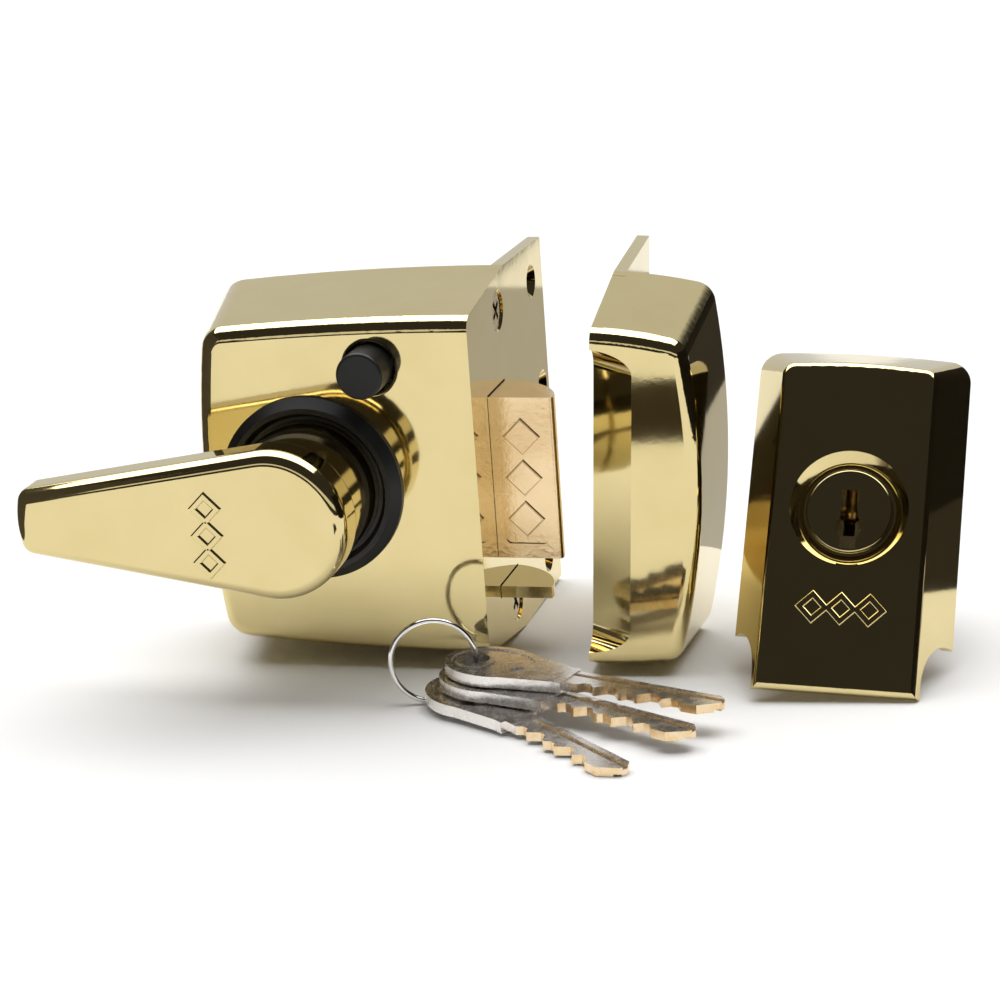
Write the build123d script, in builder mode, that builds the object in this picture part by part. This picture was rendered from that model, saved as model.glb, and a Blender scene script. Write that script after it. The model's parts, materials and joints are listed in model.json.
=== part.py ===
"""Rim night latch: lock case with lever and latch bolt, keep, outside cylinder pull and keys.

Millimetres. Origin on the spindle axis at the door face, where the case's back plate rests.
+X runs to the forend and the keep, +Y into the door, +Z up.
"""

from build123d import *
from math import cos, radians, sin, sqrt
import os

os.makedirs("parts", exist_ok=True)

# Case casting
BACKSET = 40.0  # spindle axis to the outer face of the forend
CASE_DEPTH = 34.0
WALL = 2.6
FOREND = 3.0  # thickness of the forend and of its extension over the door edge
EXTENSION = 34.0  # how far the forend runs past the door face
FRONT_LEFT, BACK_LEFT = -24.0, -30.0  # left corners of the case at its front and back
FRONT_HALF, BACK_HALF = 40.3, 44.7  # half heights at the forend
END_HALF = 43.6  # half height at the far end of the forend extension
FRONT_DROP, BACK_DROP = 3.0, 3.8  # how much lower the arched top is at the left corner
FRONT_BULGE, BACK_BULGE = 3.0, 3.6  # swell of the left side between its corners
PLATE = 2.0  # back plate

# Latch bolt and deadlocking plunger, both cut to the same curved nose
BOLT_FRONT, BOLT_BACK = -21.1, -5.2
BOLT_TOP, BOLT_BOTTOM = 18.3, -20.7
THROW = 15.6
HEAD_END = 24.0  # inner end of the bolt head
PLUNGER_TOP, PLUNGER_BOTTOM = -27.8, -30.6
PLUNGER_THROW = 12.4
SLIDE_GAP = 0.3

# Lever handle
BOSS_R = 16.6
LEVER_FRONT = -CASE_DEPTH - 31.1
LEVER_THICK = 10.0
LEVER_TIP = -62.0
LEVER_BIG_R, LEVER_TIP_HALF = 17.6, 7.6
SPINDLE_R = 4.5
RUN = 0.05  # radial clearance of a turning shaft
COLLAR_R, COLLAR_NECK_R, COLLAR_PROUD = 22.0, 19.4, 2.9

# Drive from the handle to the bolt: a pin that swings 35 degrees each side of straight down
PIN_ORBIT, PIN_R, PIN_SWING = 13.6, 2.0, 35.0
HUB_R = 6.5
TAIL_BACK, TAIL_FRONT = -9.0, -12.0

# Snib button
SNIB_X, SNIB_Z, SNIB_R = 16.1, 28.8, 5.5

# Pawl
PAWL_X, PAWL_Z, PAWL_ARM = -18.0, -24.6, 16.0

# Keep, which stands free beside the case
KEEP_AT = Location((66.9, -37.0, -1.58), (2.3, 4.1, 3.6))
KEEP_DEPTH = 34.0
KEEP_FRONT_X, KEEP_BACK_X = 21.0, 23.0
KEEP_FRONT_HALF, KEEP_BACK_HALF = 40.2, 44.5
KEEP_FLANGE_END = 68.0

# Outside cylinder in its pull, which leans back on the floor
PULL_AT = Location((124.1, -24.6, -6.17), (6.8, -32.7, 5.0), Intrinsic.ZXY)
PULL_TOP, PULL_BOTTOM = 34.2, -42.7
PULL_TOP_HALF, PULL_FOOT_HALF = 17.3, 17.8  # half widths of the raised face
PULL_DEPTH = 16.0
PLUG_R = 6.5
BODY_R = 15.5
BODY_BACK = 42.0
PIN_PITCH, PIN_COUNT = 4.2, 5
KEYWAY_WIDTH = 2.6

# Keys on their ring, lying on the floor
KEY_THICK = 2.6
KEY_REACH = 62.3  # hole to tip
RING_R, RING_WIRE_R = 9.7, 0.6
# Sizes that follow from the ones above, and the smaller details
CASE_CORNER, CASE_EDGE = 6.0, 3.6  # corner radius in front view, soft edge round the front
POST_X, POST_Z, POST_R, POST_BORE_R, POST_SCREW_R = -17.0, 31.5, 3.5, 1.5, 2.9
SCREW_R, SCREW_HEAD_R, SCREW_SEAT_R, SCREW_SUNK = 2.0, 4.4, 5.0, 0.45
FOREND_SCREWS = [(-7.5, 35.5), (-7.5, -36.0)]  # Y and Z on the forend
DOOR_EDGE_HOLES = [(23.5, 35.0), (23.5, -35.0), (28.0, 7.5), (28.0, -7.5)]
DOOR_HOLE_R = 2.25
SLOT_WIDTH, SLOT_DEPTH = 1.3, 1.3
SNIB_LIP = 1.2
CYLINDER_HOLE_R = 9.0
FIX_X, FIX_SPACING_X, FIX_SPACING_Z, FIX_HOLE_R = 4.0, 44.0, 50.0, 2.1
TAB, LUG = 2.0, 6.0
COLLAR_FLOOR, COLLAR_END = -31.0, -29.0
CLIP_BACK, CLIP_THICK, CLIP_GROOVE_R = -27.2, 0.8, 3.8
SPINDLE_END = -8.0
LEVER_CORNER, LEVER_EDGE, LEVER_BACK_EDGE = 3.5, 3.2, 1.2
HUB_END, ARM_BACK, ARM_FRONT, ARM_EDGE = -2.3, -13.0, -17.0, 1.5
PIN_X = PIN_ORBIT * sin(radians(PIN_SWING))
PIN_Z = -PIN_ORBIT * cos(radians(PIN_SWING))
PIN_SLOT_TOP, PIN_SLOT_LOW = PIN_Z + PIN_R + SLIDE_GAP, -PIN_ORBIT - PIN_R - SLIDE_GAP
TAIL_LEFT, TAIL_TOP, TAIL_LOW, TAIL_SEAT = -9.5, 9.2, -19.6, 6.0
TAIL_NOTCH, NOTCH_ROOM = 3.4, 3.2
RIVET_Z, RIVET_R = (4.0, -14.0), 1.5
LUG_X, LUG_TOP = 14.0, 16.5
PANEL_WIDE, PANEL_TALL, PANEL_DEEP = 10.5, 32.0, 0.5
LOZENGE, LOZENGE_STEP = 6.0, 10.0  # side of each lozenge on the bolt, and their spacing
MARK, MARK_STEP, MARK_LINE, MARK_PROUD = 5.2, 6.4, 1.1, 0.4  # raised lozenges on the lever and pull
LEVER_MARK, PULL_MARK = (-15.0, -2.0), (0, -23.5)
SAW_PINS = [(34.0, -14.5), (46.5, -15.5)]
SAW_PIN_R = 1.6
LUG_LOCK, LUG_LOCK_LOW = 3.5, 8.0
LUG_LOCK_X = HEAD_END - 0.4 - LUG_LOCK / 2
NOTCH_X, NOTCH_LONG, NOTCH_DEEP, NOTCH_LOW = LUG_LOCK_X + THROW, LUG_LOCK + 0.8, 4.2, LUG_LOCK_LOW - 0.4
SNIB_PROUD, SNIB_PLATE_FRONT, SNIB_PLATE_BACK = 8.0, -27.5, -25.5
LATCH_STOP_X, LATCH_SPRING_Y, LATCH_SPRING_Z = -23.0, -15.0, 13.0
STOP_TALL = 6.4
ROD_R, ROD_LONG = 1.2, 21.0
PLUNGER_STOP_X, PLUNGER_SPRING_Y, PLUNGER_SPRING_Z = -7.0, -11.5, -34.3
STEM_LEFT, PLUNGER_LUG_X = -0.5, 20.0
GUIDE_X, GUIDE_LONG = 31.8, 9.6
PAWL_Y, PAWL_PIVOT_R, PAWL_TOOTH = -10.5, 1.25, 3.0
PAWL_TOOTH_TOP = TAIL_LOW - 0.5
PEG_X, PEG_R, PEG_TOP = 1.6, 1.3, -26.2
KEEP_DROP, KEEP_BULGE, KEEP_CORNER, KEEP_EDGE = 2.2, 4.2, 5.0, 3.2
KEEP_RAMP_X, KEEP_RAMP_Y = 9.6, 5.8  # width and depth of the lead-in ramp for the bolt
KEEP_RAMP_TALL, KEEP_RAMP_MIDDLE, KEEP_RAMP_ROUND = 73.4, -0.6, 6.0
KEEP_FLANGE_HOLES = [(56.0, 30.0), (56.0, -30.0), (46.0, 0.0)]
KEEP_BACK_HOLES = [(13.0, 22.0), (13.0, -22.0)]
PULL_SKIN, PULL_EDGE, GRIP_TOP = 2.5, 1.6, -28.0
PULL_FLARE, PULL_FLARE_TOP, PULL_ARCH = 7.1, 7.2, 1.0  # how far the flanks spread, and the rise of the top
DISH_R, DISH_DEEP, DISC_R = 13.4, 3.4, 9.9
DISC_FRONT, BODY_FRONT = 2.2, 5.6
PLUG_BACK = BODY_BACK + 0.6
PLUG_LENGTH = PLUG_BACK - BODY_FRONT
KEYWAY_TALL = 10.2
MOUTH_TOP, MOUTH_LOW, MOUTH_WIDE = 4.8, -8.8, 3.7  # key slot in the disc
MOUTH_ROUND, MOUTH_ROUND_Z = 3.0, -3.8
PIN_R_SMALL, PIN_BORE_R = 1.35, 1.42
CHAMBER_TOP, DRIVER_LONG = 13.2, 3.0
SHEAR = PLUG_R - 0.15
FIXING_X, FIXING_R, FIXING_DEEP = 11.0, 2.1, 18.0
TAIL_SCREW_X, TAIL_SCREW_R, TAILPIECE_WIDE, TAILPIECE_END = 3.7, 0.9, 7.0, 56.0
SNAP_PITCH, SNAP_WIDE, SNAP_DEEP = 3.2, 0.7, 0.7  # notches where the tailpiece is snapped to length
BOW_X, BOW_LONG, BOW_WIDE, KEY_HOLE_R = 4.5, 23.0, 18.8, 3.2
NECK_START, NECK_START_HALF, NECK_END_HALF = 9.0, 8.4, 4.4
SHOULDER, STOP_LONG, STOP_HALF = 25.0, 2.4, 5.4
BLADE_WIDE, BLADE_THICK = 7.4, 2.1
BOW_RIM, BOW_MARK, BOW_DEEP = 1.5, 3.4, 0.3  # raised rim and lozenge left by the sunk bow face
KEY_CUTS = (1.3, 2.2, 1.0, 2.4, 1.7)
CUT_PITCH, CUT_FLAT, GROOVE_WIDE, GROOVE_DEEP = 5.4, 0.8, 1.4, 0.6

# Each key's place is its ring hole on the underside of the bow; it points along X, then dips to the floor
KEY_PLACES = {
    "key_1": Location((41.9, -51.9, -37.24), (-15.7, 2.0, 0), Intrinsic.ZYX),
    "key_2": Location((40.85, -52.95, -40.12), (-25.2, 1.7, 0), Intrinsic.ZYX),
    "key_3": Location((38.0, -54.0, -42.98), (-40.9, 1.8, 0), Intrinsic.ZYX),
}
RING_AT = Location((32.8, -55.0, -34.35), (0, 0, 16.3))

HOME = Location((0, 0, 0))


def wall(y, at=HOME):
    """Upright plane at depth y of a body, seen from the front: sketch x is X, sketch y is Z."""
    return Plane(at * Plane.XZ.offset(-y).location)


def side(x, at=HOME):
    """Upright plane across X: sketch x is Y, sketch y is Z, and extrusions run to +X."""
    return Plane(at * Plane.YZ.offset(x).location)


def level(z, at=HOME):
    """Level plane at height z: sketch x is X, sketch y is Y."""
    return Plane(at * Plane.XY.offset(z).location)


def save(piece, label):
    """Label a finished piece and write it."""
    piece.part.label = label
    export_step(piece.part, f"parts/{label}.step")


def blend(y, front, back, depth=CASE_DEPTH):
    """Value at depth y of something that changes evenly from a body's front to its back."""
    return front + (back - front) * (y + depth) / depth


def arched_outline(plane, straight, corner, half, drop, bulge, radius):
    """Face with one straight upright side, three arched sides and two rounded corners."""
    middle = (straight + corner) / 2
    outward = 1 if corner > straight else -1
    with BuildSketch(plane) as outline:
        with BuildLine():
            Line((straight, -half), (straight, half))
            ThreePointArc((straight, half), (middle, half - drop / 4), (corner, half - drop))
            ThreePointArc((corner, half - drop), (corner + outward * bulge, 0), (corner, drop - half))
            ThreePointArc((corner, drop - half), (middle, drop / 4 - half), (straight, -half))
        make_face()
        by_x = outline.vertices().sort_by(Axis.X)
        fillet(by_x[:2] if outward < 0 else by_x[-2:], radius)
    return outline.sketch


def case_outline(y, inset=0.0, right=BACKSET):
    """Outline of the case at depth y, drawn in by a wall thickness."""
    return arched_outline(
        wall(y),
        right,
        blend(y, FRONT_LEFT, BACK_LEFT) + inset,
        blend(y, FRONT_HALF, BACK_HALF) - inset,
        blend(y, FRONT_DROP, BACK_DROP),
        blend(y, FRONT_BULGE, BACK_BULGE),
        blend(y, CASE_CORNER, CASE_CORNER + 1) - inset,
    )


def ring_piece(plane, outer, inner, length):
    """Plain ring that stands on a plane, towards its normal."""
    with BuildPart() as ring:
        with BuildSketch(plane):
            Circle(outer)
            Circle(inner, mode=Mode.SUBTRACT)
        extrude(amount=length)
    return ring


def coil(start, direction, length, radius, wire_r, turns):
    """Closed-up helical spring from a start point along a direction."""
    with BuildPart() as spring:
        with BuildLine() as path:
            Helix(length / turns, length, radius, center=start, direction=direction)
        with BuildSketch(Plane(origin=path.line @ 0, z_dir=path.line % 0)):
            Circle(wire_r)
        sweep(is_frenet=True)
    return spring


def countersunk_screw(plane, shank_r, head_r, length, slot):
    """Countersunk screw whose head is flush with the plane and whose shank runs back from it."""
    head = head_r - shank_r
    with BuildPart() as screw:
        with BuildSketch(plane):
            Circle(head_r)
        with BuildSketch(plane.offset(-head)):
            Circle(shank_r)
        loft()
        with BuildSketch(plane.offset(-head)):
            Circle(shank_r)
        extrude(amount=head - length)
        with BuildSketch(plane):
            Rectangle(slot, SLOT_WIDTH)
            Rectangle(SLOT_WIDTH, slot)
        extrude(amount=-SLOT_DEPTH, mode=Mode.SUBTRACT)
    return screw


# ---------------------------------------------------------------- case and its fixed pieces


def lock_case():
    """Cast case, open at the door side, in one piece with the forend and its extension."""
    with BuildPart() as case:
        add(case_outline(-CASE_DEPTH))
        add(case_outline(0))
        loft()
        front = case.faces().sort_by(Axis.Y)[0]
        arched = front.edges().filter_by(lambda e: e.center().X < BACKSET - 1)
        fillet(arched, CASE_EDGE)
        add(case_outline(-CASE_DEPTH + WALL, WALL, BACKSET - FOREND))
        add(case_outline(0, WALL, BACKSET - FOREND))
        loft(mode=Mode.SUBTRACT)
        with BuildSketch(side(BACKSET - FOREND)):
            with BuildLine():
                Polyline(
                    (-FOREND, -blend(-FOREND, FRONT_HALF, BACK_HALF)),
                    (0, -BACK_HALF),
                    (EXTENSION, -END_HALF),
                    (EXTENSION, END_HALF),
                    (0, BACK_HALF),
                    (-FOREND, blend(-FOREND, FRONT_HALF, BACK_HALF)),
                    close=True,
                )
            make_face()
        extrude(amount=FOREND)
        for z in (-POST_Z, POST_Z):
            with BuildSketch(wall(-PLATE - 0.05)):
                with Locations((POST_X, z)):
                    Circle(POST_R)
                    Circle(POST_BORE_R, mode=Mode.SUBTRACT)
            extrude(amount=CASE_DEPTH - WALL - PLATE)
        with BuildSketch(wall(0)):
            Circle(COLLAR_NECK_R + RUN)
            with Locations((SNIB_X, SNIB_Z)):
                Circle(SNIB_R + SLIDE_GAP)
        extrude(amount=CASE_DEPTH, mode=Mode.SUBTRACT)
        with BuildSketch(side(BACKSET - FOREND)):
            middle_y = (BOLT_FRONT + BOLT_BACK) / 2
            deep = BOLT_BACK - BOLT_FRONT + 2 * SLIDE_GAP
            with Locations((middle_y, (BOLT_TOP + BOLT_BOTTOM) / 2)):
                RectangleRounded(deep, BOLT_TOP - BOLT_BOTTOM + 2 * SLIDE_GAP, 1)
            with Locations((middle_y, (PLUNGER_TOP + PLUNGER_BOTTOM) / 2)):
                Rectangle(deep, PLUNGER_TOP - PLUNGER_BOTTOM + 2 * SLIDE_GAP)
        extrude(amount=FOREND, mode=Mode.SUBTRACT)
        with Locations(*[side(BACKSET) * Location((y, z)) for y, z in FOREND_SCREWS]):
            CounterSinkHole(SCREW_R + 0.1, SCREW_SEAT_R, depth=FOREND)
        with Locations(*[side(BACKSET) * Location((y, z)) for y, z in DOOR_EDGE_HOLES]):
            CounterSinkHole(DOOR_HOLE_R, DOOR_HOLE_R * 1.8, depth=FOREND)
        lip = case.edges().filter_by(GeomType.CIRCLE).sort_by(Axis.Y)
        lip = lip.filter_by(lambda e: abs(e.radius - SNIB_R - SLIDE_GAP) < 0.01)[0]
        fillet(lip, SNIB_LIP)
    return case


def back_plate():
    """Steel plate that closes the case; its folded tabs hold the springs, guide and pivots."""
    with BuildPart() as plate:
        extrude(case_outline(-PLATE, WALL + 0.15, BACKSET - FOREND - 0.1), amount=-PLATE)
        with BuildSketch(wall(0)):
            Circle(CYLINDER_HOLE_R)
            with Locations((FIX_X, 0)):
                with GridLocations(FIX_SPACING_X, FIX_SPACING_Z, 2, 2):
                    Circle(FIX_HOLE_R)
            with Locations((POST_X, POST_Z), (POST_X, -POST_Z)):
                Circle(POST_SCREW_R + 0.1)
        extrude(amount=PLATE, mode=Mode.SUBTRACT)
        with BuildSketch(wall(-PLATE)):
            with Locations((LATCH_STOP_X, LATCH_SPRING_Z)):
                Rectangle(TAB, STOP_TALL)
            with Locations((PLUNGER_STOP_X, PLUNGER_SPRING_Z)):
                Rectangle(TAB, 5.4)
        extrude(amount=16)
        with BuildSketch(side(LATCH_STOP_X - TAB / 2)):
            with Locations((LATCH_SPRING_Y, LATCH_SPRING_Z)):
                Circle(ROD_R)
        extrude(amount=TAB, mode=Mode.SUBTRACT)
        for y, z in FOREND_SCREWS:
            with BuildSketch(level(z - LUG / 2)):
                with Locations((BACKSET - FOREND - 0.1 - LUG / 2, (y - LUG / 2 - PLATE) / 2)):
                    Rectangle(LUG, -(y - LUG / 2) - PLATE + 0.2)
            extrude(amount=LUG)
            with BuildSketch(side(BACKSET - FOREND - 0.1)):
                with Locations((y, z)):
                    Circle(SCREW_R)
            extrude(amount=-LUG, mode=Mode.SUBTRACT)
    return plate


def forend_screws():
    """Two countersunk screws through the forend into the back plate's lugs."""
    with BuildPart() as screws:
        for y, z in FOREND_SCREWS:
            plane = Plane(origin=(BACKSET - SCREW_SUNK, y, z), x_dir=(0, 0.8, 0.6), z_dir=(1, 0, 0))
            add(countersunk_screw(plane, SCREW_R, SCREW_HEAD_R, 7.5, SCREW_HEAD_R * 1.2).part)
    return screws


def back_plate_screws():
    """Two screws that hold the back plate to the case posts."""
    with BuildPart() as screws:
        for z in (-POST_Z, POST_Z):
            plane = Plane(origin=(POST_X, -0.1, z), x_dir=(1, 0, 0), z_dir=(0, 1, 0))
            add(countersunk_screw(plane, POST_BORE_R, POST_SCREW_R, 12, 3).part)
    return screws


def handle_collar():
    """Nylon bush and collar that the lever's boss turns in, with a sloped outer face."""
    with BuildPart() as collar:
        with BuildSketch(Plane.YZ):
            with BuildLine():
                Polyline(
                    (-CASE_DEPTH, COLLAR_R),
                    (-CASE_DEPTH - 0.9, COLLAR_R),
                    (-CASE_DEPTH - COLLAR_PROUD, COLLAR_R - 2.2),
                    (-CASE_DEPTH - COLLAR_PROUD, COLLAR_R - 3.4),
                    (-CASE_DEPTH - 1.3, BOSS_R + 0.9),
                    (-CASE_DEPTH - 1.3, BOSS_R + RUN),
                    (COLLAR_FLOOR, BOSS_R + RUN),
                    (COLLAR_FLOOR, SPINDLE_R + RUN),
                    (COLLAR_END, SPINDLE_R + RUN),
                    (COLLAR_END, COLLAR_NECK_R),
                    (-CASE_DEPTH, COLLAR_NECK_R),
                    close=True,
                )
            make_face()
        revolve(axis=Axis.Y)
    return collar


def bolt_guide():
    """Nylon rail between the latch bolt and the plunger, fixed to the back plate."""
    with BuildPart() as guide:
        with BuildSketch(level(PLUNGER_TOP + SLIDE_GAP)):
            with Locations((GUIDE_X, (BOLT_FRONT - PLATE) / 2)):
                Rectangle(GUIDE_LONG, -BOLT_FRONT - PLATE)
        extrude(amount=BOLT_BOTTOM - PLUNGER_TOP - 2 * SLIDE_GAP)
        fillet(guide.edges().filter_by(Axis.Z), 0.8)
    return guide


def spring_rod():
    """Rod that keeps the latch spring straight, pressed in the back plate's tab."""
    with BuildPart() as rod:
        with BuildSketch(side(LATCH_STOP_X - TAB / 2)):
            with Locations((LATCH_SPRING_Y, LATCH_SPRING_Z)):
                Circle(ROD_R)
        extrude(amount=ROD_LONG)
    return rod


def latch_spring():
    start = (LATCH_STOP_X + TAB / 2 + 0.5, LATCH_SPRING_Y, LATCH_SPRING_Z)
    return coil(start, (1, 0, 0), LUG_X - 1 - start[0], 2.6, 0.45, 11)


def plunger_spring():
    start = (PLUNGER_STOP_X + TAB / 2 + 0.4, PLUNGER_SPRING_Y, PLUNGER_SPRING_Z)
    return coil(start, (1, 0, 0), PLUNGER_LUG_X - 0.8 - start[0], 1.9, 0.35, 11)


def handle_spring():
    """Torsion spring round the spindle that returns the lever."""
    return coil((0, -25.0, 0), (0, 1, 0), 6.2, 6.9, 0.6, 4)


def snib_spring():
    start = (SNIB_X, SNIB_PLATE_BACK + 0.5, SNIB_Z)
    return coil(start, (0, 1, 0), -PLATE - SNIB_PLATE_BACK - 1, 3.7, 0.4, 7)


def pawl_pivot():
    """Pin that stands in the back plate and carries the deadlocking pawl."""
    with BuildPart() as pivot:
        with BuildSketch(wall(-PLATE)):
            with Locations((PAWL_X, PAWL_Z)):
                Circle(2.4)
        extrude(amount=-TAIL_BACK - PLATE - 0.2)
        with BuildSketch(wall(-PLATE)):
            with Locations((PAWL_X, PAWL_Z)):
                Circle(PAWL_PIVOT_R)
        extrude(amount=11.5)
    return pivot


# ---------------------------------------------------------------- handle


def raised_marks(plane, centre, along):
    """Three hollow lozenges in a row, standing a little proud of a plane."""
    x, z = centre
    spots = [(x + along[0] * step, z + along[1] * step) for step in (-MARK_STEP, 0, MARK_STEP)]
    with BuildPart() as marks:
        with BuildSketch(plane.offset(-MARK_PROUD)):
            with Locations(*spots):
                Rectangle(MARK, MARK, rotation=45)
                Rectangle(MARK - 2 * MARK_LINE, MARK - 2 * MARK_LINE, rotation=45, mode=Mode.SUBTRACT)
        extrude(amount=2 * MARK_PROUD)
    return marks.part


def handle_lever():
    """Cast lever: round boss, tapered arm with a soft edge, and the spindle behind it."""
    tilt = (LEVER_BIG_R - LEVER_TIP_HALF) / -LEVER_TIP
    with BuildPart() as lever:
        with BuildSketch(wall(LEVER_FRONT + LEVER_THICK)):
            Circle(LEVER_BIG_R)
            with BuildLine():
                touch = (-LEVER_BIG_R * tilt, LEVER_BIG_R * sqrt(1 - tilt * tilt))
                Line(touch, (LEVER_TIP + 1.2, LEVER_TIP_HALF))
                ThreePointArc(
                    (LEVER_TIP + 1.2, LEVER_TIP_HALF), (LEVER_TIP, 0), (LEVER_TIP + 1.2, -LEVER_TIP_HALF)
                )
                Line((LEVER_TIP + 1.2, -LEVER_TIP_HALF), (touch[0], -touch[1]))
                Line((touch[0], -touch[1]), touch)
            make_face()
        extrude(amount=LEVER_THICK)
        tip_corners = lever.edges().filter_by(Axis.Y).filter_by(lambda e: e.center().X < LEVER_TIP + 3)
        fillet(tip_corners, LEVER_CORNER)
        front = lever.faces().sort_by(Axis.Y)[0]
        fillet(front.edges(), LEVER_EDGE)
        back = lever.faces().sort_by(Axis.Y)[-1]
        fillet(back.edges(), LEVER_BACK_EDGE)
        with BuildSketch(wall(COLLAR_FLOOR - 0.1)):
            Circle(BOSS_R)
        extrude(amount=COLLAR_FLOOR - 0.1 - LEVER_FRONT - LEVER_THICK)
        with BuildSketch(wall(SPINDLE_END)):
            Circle(SPINDLE_R)
        extrude(amount=SPINDLE_END - COLLAR_FLOOR + 0.1)
        with BuildSketch(wall(CLIP_BACK + 0.05)):
            Circle(SPINDLE_R + 1)
            Circle(CLIP_GROOVE_R, mode=Mode.SUBTRACT)
        extrude(amount=CLIP_THICK + 0.1, mode=Mode.SUBTRACT)
        add(raised_marks(wall(LEVER_FRONT), LEVER_MARK, (0, 1)))
    return lever


def follower():
    """Hub pressed on the spindle with the arm that carries the drive pin; slot for the tailpiece."""
    with BuildPart() as hub:
        with BuildSketch(wall(HUB_END)):
            Circle(HUB_R)
        extrude(amount=HUB_END - ARM_FRONT)
        with BuildSketch(wall(ARM_BACK)):
            with BuildLine():
                Polyline(
                    (-HUB_R, 0),
                    (PIN_X - PIN_R - ARM_EDGE, PIN_Z),
                    (PIN_X + PIN_R + ARM_EDGE, PIN_Z),
                    (HUB_R, 0),
                    close=True,
                )
            make_face()
            with Locations((PIN_X, PIN_Z)):
                Circle(PIN_R + 1.5)
        extrude(amount=ARM_BACK - ARM_FRONT)
        with BuildSketch(wall(SPINDLE_END + 0.1)):
            Circle(SPINDLE_R)
        extrude(amount=SPINDLE_END + 0.1 - ARM_FRONT, mode=Mode.SUBTRACT)
        with BuildSketch(wall(HUB_END)):
            Rectangle(8.4, 2.2)
        extrude(amount=5, mode=Mode.SUBTRACT)
        with BuildSketch(wall(ARM_BACK)):
            with Locations((PIN_X, PIN_Z)):
                Circle(PIN_R)
        extrude(amount=ARM_BACK - ARM_FRONT, mode=Mode.SUBTRACT)
    return hub


def drive_pin():
    with BuildPart() as pin:
        with BuildSketch(wall(TAIL_BACK + 0.6)):
            with Locations((PIN_X, PIN_Z)):
                Circle(PIN_R)
        extrude(amount=TAIL_BACK + 0.6 - ARM_FRONT)
    return pin


def handle_washer():
    return ring_piece(wall(CLIP_BACK - CLIP_THICK - 0.05), 8.0, SPINDLE_R + RUN, 0.7)


def retaining_clip():
    """E-clip in the spindle's groove behind the collar."""
    with BuildPart() as clip:
        with BuildSketch(wall(CLIP_BACK)):
            Circle(7.0)
            Circle(CLIP_GROOVE_R + 0.02, mode=Mode.SUBTRACT)
            with Locations((0, -5)):
                Rectangle(5, 10, mode=Mode.SUBTRACT)
        extrude(amount=CLIP_THICK)
    return clip


# ---------------------------------------------------------------- latch bolt


def nosed_bar(bottom, top, inner, tip):
    """Bar with a flat front face and a nose curved back on the door-frame side."""
    nose = tip - BACKSET
    with BuildPart() as bar:
        with BuildSketch(level(bottom)):
            with BuildLine():
                Polyline(
                    (BACKSET + 0.8, BOLT_BACK), (inner, BOLT_BACK), (inner, BOLT_FRONT), (tip, BOLT_FRONT)
                )
                Line((tip, BOLT_FRONT), (tip, BOLT_FRONT + 2.2))
                ThreePointArc(
                    (tip, BOLT_FRONT + 2.2),
                    (BACKSET + nose * 0.72, BOLT_BACK - 5.6),
                    (BACKSET + 0.8, BOLT_BACK),
                )
            make_face()
        extrude(amount=top - bottom)
    return bar


def latch_bolt():
    """Cast latch bolt head, with a framed panel on its front face and the holdback notch."""
    with BuildPart() as bolt:
        add(nosed_bar(BOLT_BOTTOM, BOLT_TOP, HEAD_END, BACKSET + THROW).part)
        outside = bolt.edges().filter_by(Axis.Z).filter_by(lambda e: e.center().X > BACKSET + THROW - 1)
        fillet(outside, 0.9)
        with BuildSketch(wall(BOLT_FRONT)):
            with Locations(((BACKSET + BACKSET + THROW) / 2 - 0.4, (BOLT_TOP + BOLT_BOTTOM) / 2)):
                RectangleRounded(PANEL_WIDE, PANEL_TALL, 1.4)
                with Locations((0, -LOZENGE_STEP), (0, 0), (0, LOZENGE_STEP)):
                    Rectangle(LOZENGE, LOZENGE, rotation=45, mode=Mode.SUBTRACT)
        extrude(amount=-PANEL_DEEP, mode=Mode.SUBTRACT)
        with BuildSketch(level(NOTCH_LOW)):
            with Locations((NOTCH_X, BOLT_FRONT)):
                Rectangle(NOTCH_LONG, 2 * NOTCH_DEEP)
        extrude(amount=BOLT_TOP - NOTCH_LOW, mode=Mode.SUBTRACT)
        with BuildSketch(wall(TAIL_BACK)):
            with Locations((HEAD_END + TAIL_SEAT / 2, (TAIL_TOP + TAIL_LOW) / 2)):
                Rectangle(TAIL_SEAT, TAIL_TOP - TAIL_LOW)
        extrude(amount=TAIL_BACK - TAIL_FRONT, mode=Mode.SUBTRACT)
        with BuildSketch(wall(BOLT_BACK - 1)):
            for z in RIVET_Z:
                with Locations((HEAD_END + TAIL_SEAT / 2, z)):
                    Circle(RIVET_R)
        extrude(amount=BOLT_BACK - BOLT_FRONT - 2, mode=Mode.SUBTRACT)
        with BuildSketch(level(BOLT_BOTTOM)):
            with Locations(*SAW_PINS):
                Circle(SAW_PIN_R)
        extrude(amount=BOLT_TOP - BOLT_BOTTOM - 2, mode=Mode.SUBTRACT)
    return bolt


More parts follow.
